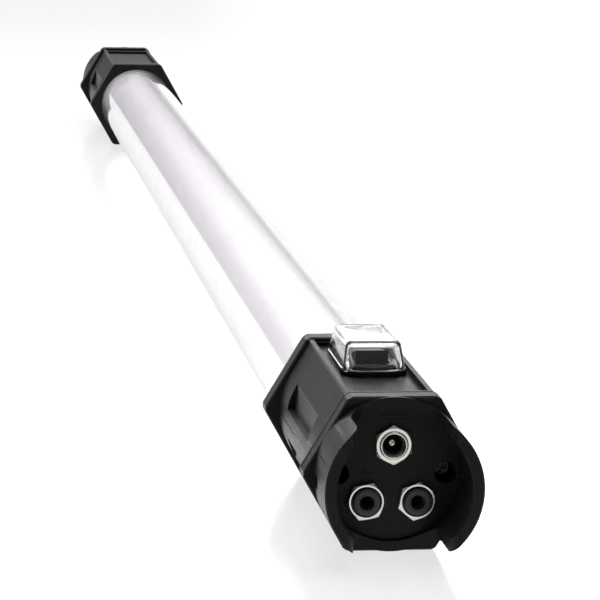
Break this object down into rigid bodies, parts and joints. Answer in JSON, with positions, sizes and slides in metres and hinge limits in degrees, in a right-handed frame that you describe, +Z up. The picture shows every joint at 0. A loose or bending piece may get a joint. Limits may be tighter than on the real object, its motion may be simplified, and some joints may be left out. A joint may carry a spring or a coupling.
{
  "type": "led light tube",
  "caption": "Clear tube with a milky core between two hexagonal end caps with collars; the near cap holds a supply jack, two signal jacks and a booted rocker switch.",
  "frame": {"origin": "middle of the lamp's length, on the plane that the bottom flats of the four hexagonal flanges lie on, under the tube's axis", "axes": "+Y along the tube, from the socket end to the blind end; +Z up, through the rocker switch; +X to the right, seen from the socket end"},
  "size_m": [0.0554, 1, 0.057],
  "materials": {
    "cap_plastic": "fine-textured black moulding",
    "seal_rubber": "matte",
    "screw_steel": "black oxide",
    "nickel": "bright nickel plate",
    "jack_plastic": "satin black",
    "tinned_brass": "tinned",
    "contact_brass": "bright",
    "switch_plastic": "satin black",
    "switch_nylon": "natural nylon",
    "clear_vinyl": "clear soft vinyl",
    "board_green": "solder mask",
    "chip_black": "moulded",
    "capacitor_sleeve": "shrink sleeve",
    "wire_red": "PVC insulation",
    "wire_white": "PVC insulation",
    "clear_tube": "clear, polished",
    "milky_tube": "opal",
    "carrier_aluminium": "mill",
    "strip_white": "white solder mask",
    "led_yellow": "phosphor window",
    "clip_white": "moulded"
  },
  "bodies": {
    "lamp": {"socket_end_plate": "cap_plastic", "near_end_gasket": "seal_rubber", "near_end_screws": "screw_steel", "control_housing": "cap_plastic", "dc_jack_barrel": "nickel", "dc_jack_insulator": "jack_plastic", "dc_jack_pin": "nickel", "dc_jack_nut": "nickel", "dc_jack_terminals": "tinned_brass", "signal_in_jack": "jack_plastic", "signal_out_jack": "jack_plastic", "signal_jack_nuts": "nickel", "signal_jack_terminals": "tinned_brass", "switch_case": "switch_plastic", "switch_terminals": "tinned_brass", "switch_boot": "clear_vinyl", "controller_board": "board_green", "controller_chips": "chip_black", "supply_capacitor": "capacitor_sleeve", "board_screws": "screw_steel", "power_wires": "wire_red", "signal_wires": "wire_white", "strip_wires": "wire_white", "near_tube_gasket": "seal_rubber", "outer_tube": "clear_tube", "diffuser_tube": "milky_tube", "led_carrier": "carrier_aluminium", "led_strip": "strip_white", "led_packages": "led_yellow", "near_carrier_clip": "clip_white", "far_carrier_clip": "clip_white", "far_tube_gasket": "seal_rubber", "far_housing": "cap_plastic", "far_end_gasket": "seal_rubber", "far_end_plate": "cap_plastic", "far_end_screws": "screw_steel"},
    "rocker": {"rocker": "switch_plastic", "switch_plunger": "switch_nylon", "switch_spring": "screw_steel"},
    "contact": {"switch_contact": "contact_brass"}
  },
  "joints": [
    {"name": "rocker_hinge", "type": "hinge", "parent": "lamp", "child": "rocker", "pos_m": [0.0007, -0.422, 0.0459], "axis": [1, 0, 0], "range_deg": [0, 20]},
    {"name": "contact_rock", "type": "hinge", "parent": "lamp", "child": "contact", "pos_m": [0.0007, -0.422, 0.0365], "axis": [1, 0, 0], "range_deg": [-16, 0]}
  ],
  "couplings": [
    {"joint": "contact_rock", "follows": "rocker_hinge", "ratio": -0.8}
  ]
}
